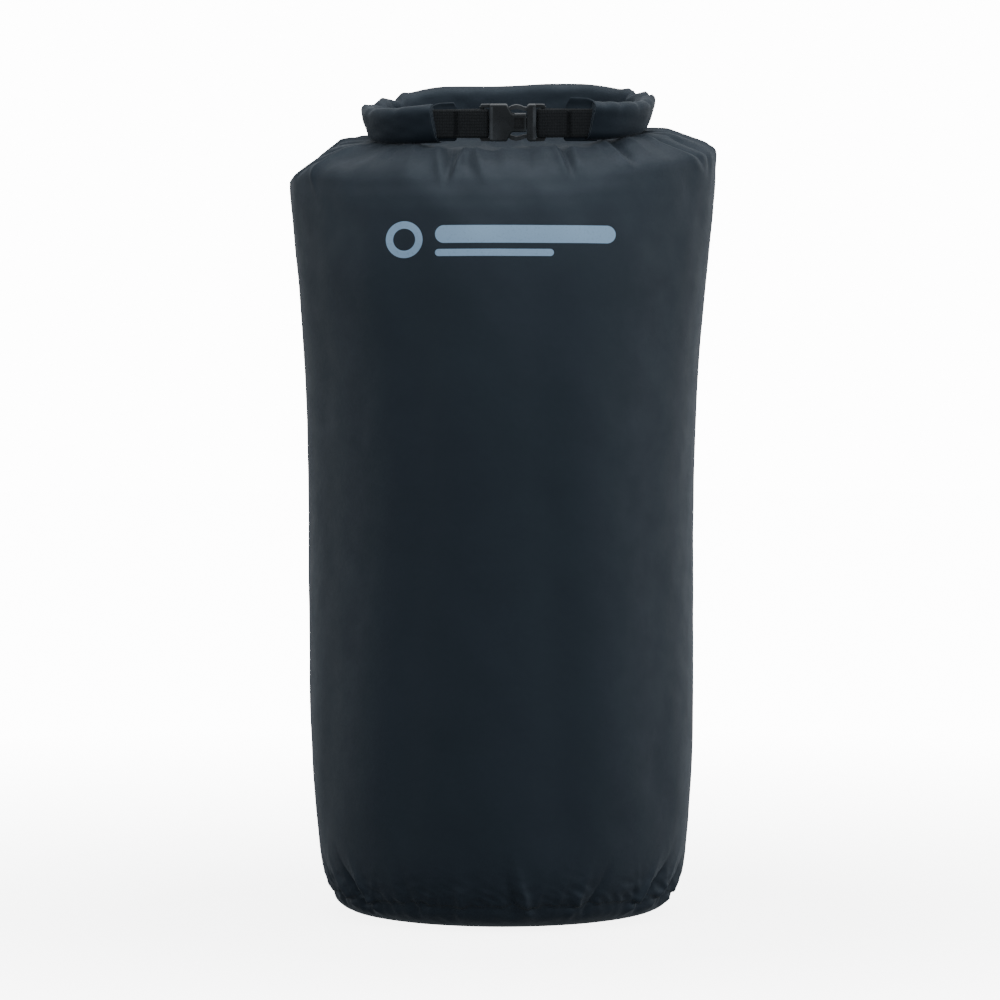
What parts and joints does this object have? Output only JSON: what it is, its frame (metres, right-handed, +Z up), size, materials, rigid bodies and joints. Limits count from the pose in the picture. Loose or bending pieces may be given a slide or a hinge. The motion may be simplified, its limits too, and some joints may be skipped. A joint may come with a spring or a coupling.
{
  "type": "roll-top dry sack",
  "caption": "Round-based fabric sack for packing kit, its mouth rolled up, bent into a carrying ring and clipped in front with a side-release buckle.",
  "frame": {"origin": "middle of the base, on the surface that the sack stands on", "axes": "+Z up the sack, +X to the right and -Y towards the front, where the buckle is"},
  "size_m": [0.298, 0.27, 0.5794],
  "materials": {
    "coated_fabric": "plain-woven nylon with a semi-matt waterproof coating",
    "seam_tape": "smooth bonded tape",
    "stiffener_strip": "satin strip",
    "webbing": "ribbed woven nylon, matt",
    "thread": "bonded polyester thread",
    "moulded_plastic": "satin moulded acetal"
  },
  "bodies": {
    "sack": {"sack_body": "coated_fabric", "base_panel": "coated_fabric", "base_seam_tape": "seam_tape", "side_seam_tape": "seam_tape"},
    "closure": {"roll_rear": "coated_fabric", "stiffener_rear": "stiffener_strip"},
    "left_arm": {"roll_left": "coated_fabric", "stiffener_left": "stiffener_strip", "left_webbing": "webbing", "left_hem_tab": "coated_fabric", "left_bartack": "thread"},
    "right_arm": {"roll_right": "coated_fabric", "stiffener_right": "stiffener_strip", "right_webbing": "webbing", "right_hem_tab": "coated_fabric", "right_bartack": "thread"},
    "socket_half": {"buckle_socket": "moulded_plastic"},
    "plug_half": {"buckle_plug": "moulded_plastic"},
    "upper_prong": {"buckle_upper_prong": "moulded_plastic"},
    "lower_prong": {"buckle_lower_prong": "moulded_plastic"}
  },
  "joints": [
    {"name": "handle_raise", "type": "hinge", "parent": "sack", "child": "closure", "pos_m": [0.007, 0.04215, 0.55899], "axis": [-1, 0, 0], "range_deg": [0, 60]},
    {"name": "right_arm_swing", "type": "hinge", "parent": "closure", "child": "right_arm", "pos_m": [0.051, 0.04942, 0.55421], "axis": [0, -0.1788, 0.9839], "range_deg": [0, 20]},
    {"name": "left_arm_swing", "type": "hinge", "parent": "closure", "child": "left_arm", "pos_m": [-0.037, 0.04942, 0.55421], "axis": [0, -0.1788, 0.9839], "range_deg": [-20, 0]},
    {"name": "plug_pivot", "type": "hinge", "parent": "right_arm", "child": "plug_half", "pos_m": [0.0282, -0.05412, 0.54962], "axis": [0, -0.1788, 0.9839], "range_deg": [-20, 0]},
    {"name": "socket_pivot", "type": "hinge", "parent": "left_arm", "child": "socket_half", "pos_m": [-0.0142, -0.05412, 0.54962], "axis": [0, -0.1788, 0.9839], "range_deg": [0, 20]},
    {"name": "upper_prong_squeeze", "type": "hinge", "parent": "plug_half", "child": "upper_prong", "pos_m": [0.0189, -0.05579, 0.55877], "axis": [0, -0.9839, -0.1788], "range_deg": [0, 4], "stiffness_Nm_per_rad": 0.05, "springref_deg": -1.15},
    {"name": "lower_prong_squeeze", "type": "hinge", "parent": "plug_half", "child": "lower_prong", "pos_m": [0.0189, -0.05246, 0.54047], "axis": [0, 0.9839, 0.1788], "range_deg": [0, 4], "stiffness_Nm_per_rad": 0.05, "springref_deg": -1.15}
  ],
  "couplings": [
    {"joint": "left_arm_swing", "follows": "right_arm_swing", "ratio": -1},
    {"joint": "plug_pivot", "follows": "right_arm_swing", "ratio": -1},
    {"joint": "socket_pivot", "follows": "right_arm_swing", "ratio": 1}
  ]
}
